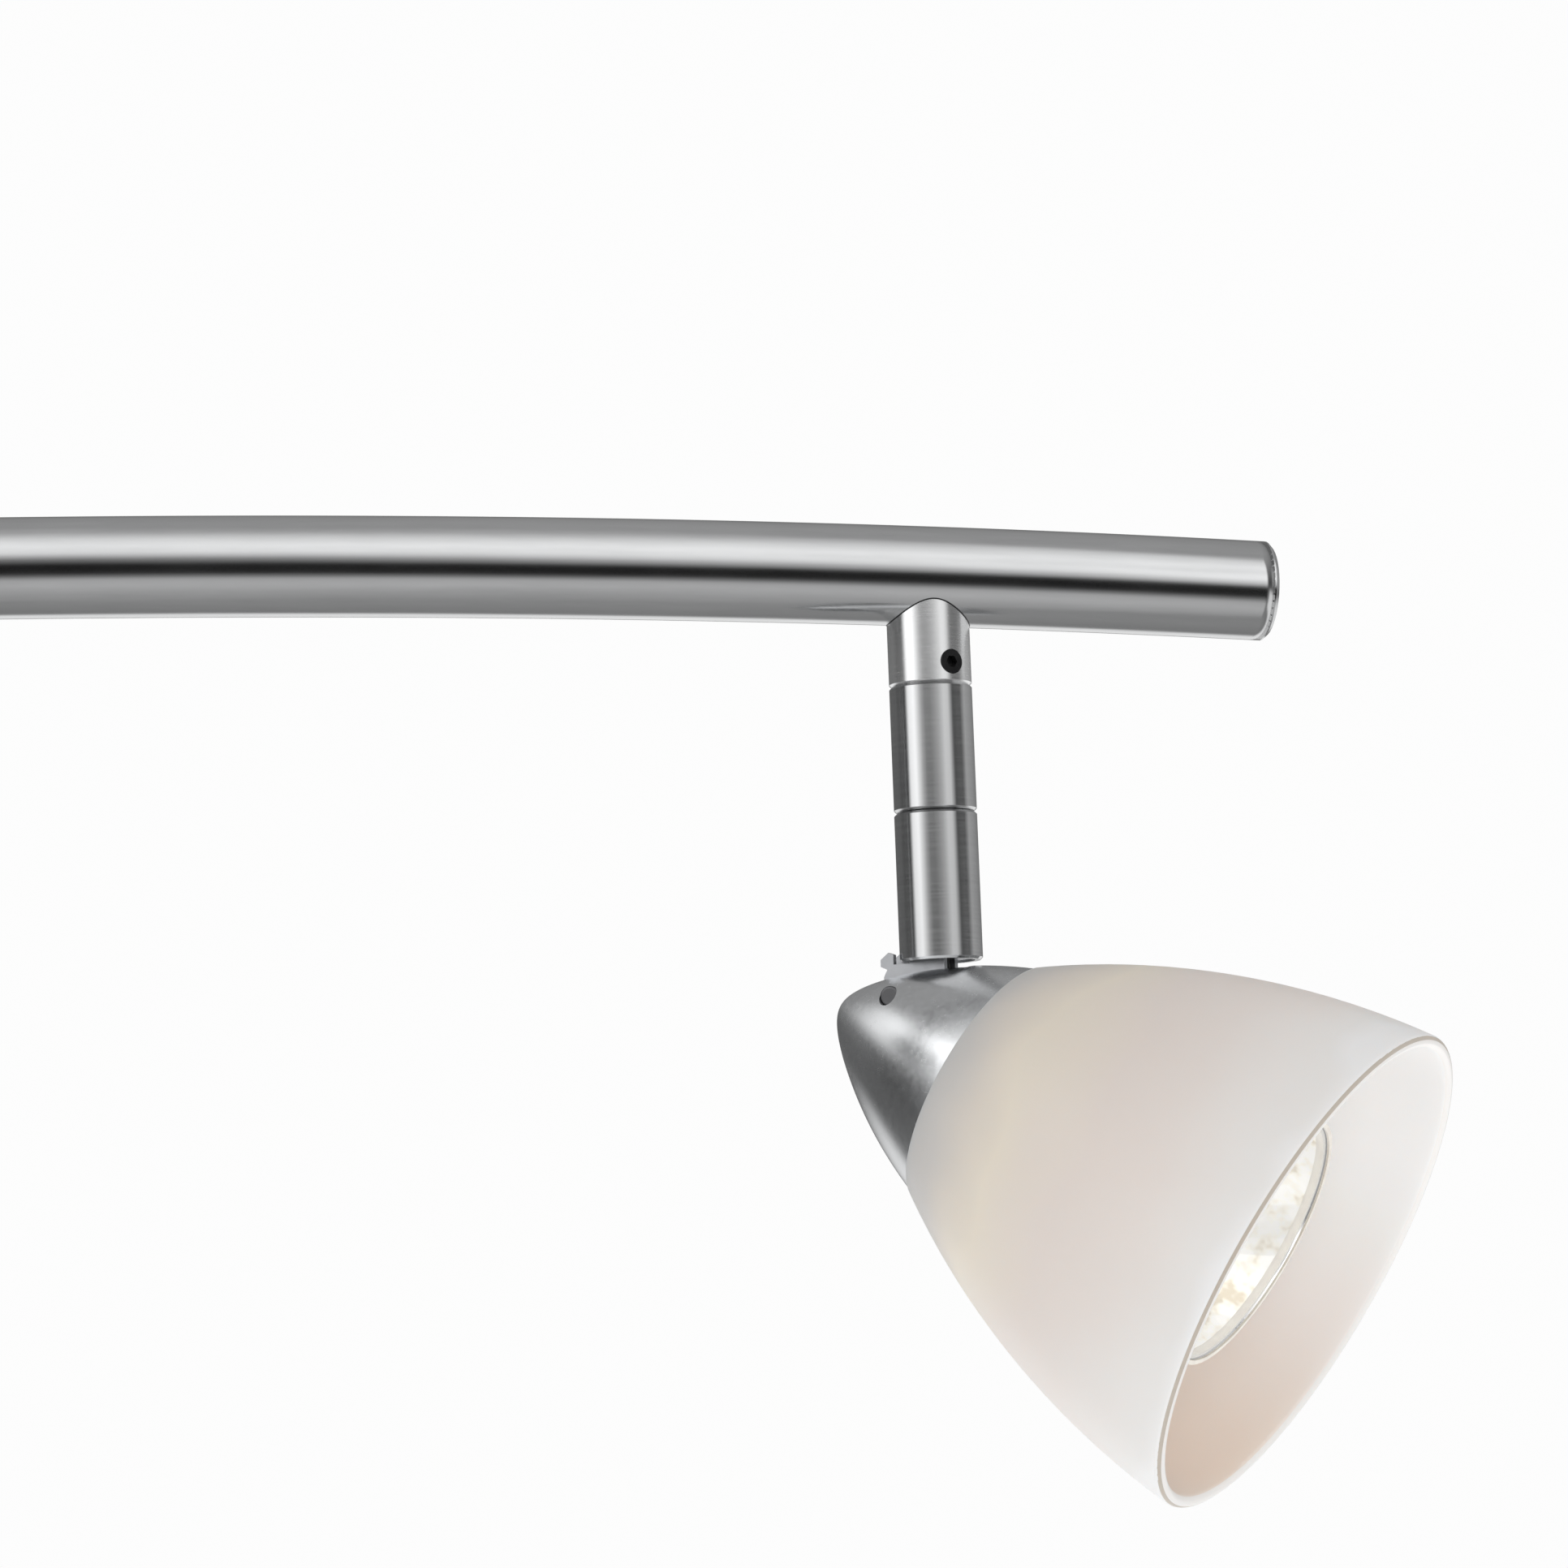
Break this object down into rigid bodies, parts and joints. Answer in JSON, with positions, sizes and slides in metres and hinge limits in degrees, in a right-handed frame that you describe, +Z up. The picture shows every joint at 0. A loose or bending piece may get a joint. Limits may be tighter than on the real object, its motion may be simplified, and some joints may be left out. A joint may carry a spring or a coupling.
{
  "type": "ceiling bar spotlight",
  "caption": "Ceiling light with a wavy tubular bar under a round canopy and swivelling, tilting spot heads in frosted glass shades.",
  "frame": {"origin": "centre of the mounting bar's top face, in the plane of the ceiling", "axes": "+Z up into the ceiling, +X along the light bar, -Y to the side that the heads aim at"},
  "size_m": [0.7822, 0.1819, 0.2479],
  "materials": {
    "brushed_nickel": "satin, brushed along the bar and down the stems",
    "cast_nickel": "satin plated die casting, fine turned lines",
    "zinc_plate": "bright zinc plate",
    "ground_green": "green passivated steel",
    "black_oxide": "glossy black oxide",
    "lead_black": "smooth black sleeve",
    "connector_grey": "moulded plastic",
    "frosted_glass": "etched white glass",
    "lamp_ceramic": "unglazed white ceramic",
    "lamp_mirror": "faceted mirror coat",
    "lamp_glass": "clear front glass"
  },
  "bodies": {
    "ceiling_part": {"mounting_bar": "zinc_plate", "ground_screw": "ground_green", "canopy_studs": "zinc_plate", "canopy_cap_nuts": "brushed_nickel", "canopy": "brushed_nickel", "canopy_nut": "zinc_plate", "post": "brushed_nickel", "bar_tube": "brushed_nickel", "end_caps": "brushed_nickel", "threaded_nipples": "zinc_plate", "nipple_nuts": "zinc_plate", "set_screws": "black_oxide", "supply_leads": "lead_black", "wire_connectors": "connector_grey", "collar_left": "brushed_nickel", "upper_stem_left": "brushed_nickel", "collar_middle": "brushed_nickel", "upper_stem_middle": "brushed_nickel", "collar_right": "brushed_nickel", "upper_stem_right": "brushed_nickel"},
    "stem_left": {"lower_stem_left": "brushed_nickel", "swivel_ring_left": "zinc_plate", "hinge_bracket_left": "zinc_plate", "head_lead_left": "lead_black"},
    "head_left": {"hinge_pin_left": "brushed_nickel", "cup_left": "cast_nickel", "socket_carrier_left": "zinc_plate", "shade_left": "frosted_glass", "shade_retainer_left": "zinc_plate", "lamp_socket_left": "lamp_ceramic", "lamp_base_left": "lamp_ceramic", "lamp_reflector_left": "lamp_mirror", "lamp_lens_left": "lamp_glass"},
    "stem_middle": {"lower_stem_middle": "brushed_nickel", "swivel_ring_middle": "zinc_plate", "hinge_bracket_middle": "zinc_plate", "head_lead_middle": "lead_black"},
    "head_middle": {"hinge_pin_middle": "brushed_nickel", "cup_middle": "cast_nickel", "socket_carrier_middle": "zinc_plate", "shade_middle": "frosted_glass", "shade_retainer_middle": "zinc_plate", "lamp_socket_middle": "lamp_ceramic", "lamp_base_middle": "lamp_ceramic", "lamp_reflector_middle": "lamp_mirror", "lamp_lens_middle": "lamp_glass"},
    "stem_right": {"lower_stem_right": "brushed_nickel", "swivel_ring_right": "zinc_plate", "hinge_bracket_right": "zinc_plate", "head_lead_right": "lead_black"},
    "head_right": {"hinge_pin_right": "brushed_nickel", "cup_right": "cast_nickel", "socket_carrier_right": "zinc_plate", "shade_right": "frosted_glass", "shade_retainer_right": "zinc_plate", "lamp_socket_right": "lamp_ceramic", "lamp_base_right": "lamp_ceramic", "lamp_reflector_right": "lamp_mirror", "lamp_lens_right": "lamp_glass"}
  },
  "joints": [
    {"name": "swivel_left", "type": "hinge", "parent": "ceiling_part", "child": "stem_left", "pos_m": [-0.3, 0.0378, -0.11747], "axis": [0, 0, 1], "range_deg": [-165, 165]},
    {"name": "tilt_left", "type": "hinge", "parent": "stem_left", "child": "head_left", "pos_m": [-0.29447, 0.0415, -0.15227], "axis": [0.555, -0.8319, 0], "range_deg": [-3, 58], "deforming": ["head_lead_left"]},
    {"name": "swivel_middle", "type": "hinge", "parent": "ceiling_part", "child": "stem_middle", "pos_m": [0, 0, -0.1109], "axis": [0, 0, 1], "range_deg": [-165, 165]},
    {"name": "tilt_middle", "type": "hinge", "parent": "stem_middle", "child": "head_middle", "pos_m": [0, 0.00665, -0.1457], "axis": [1, 0, 0], "range_deg": [-3, 58], "deforming": ["head_lead_middle"]},
    {"name": "swivel_right", "type": "hinge", "parent": "ceiling_part", "child": "stem_right", "pos_m": [0.3, -0.0378, -0.11747], "axis": [0, 0, 1], "range_deg": [-165, 165]},
    {"name": "tilt_right", "type": "hinge", "parent": "stem_right", "child": "head_right", "pos_m": [0.29447, -0.03411, -0.15227], "axis": [0.555, 0.8319, 0], "range_deg": [-3, 58], "deforming": ["head_lead_right"]}
  ]
}
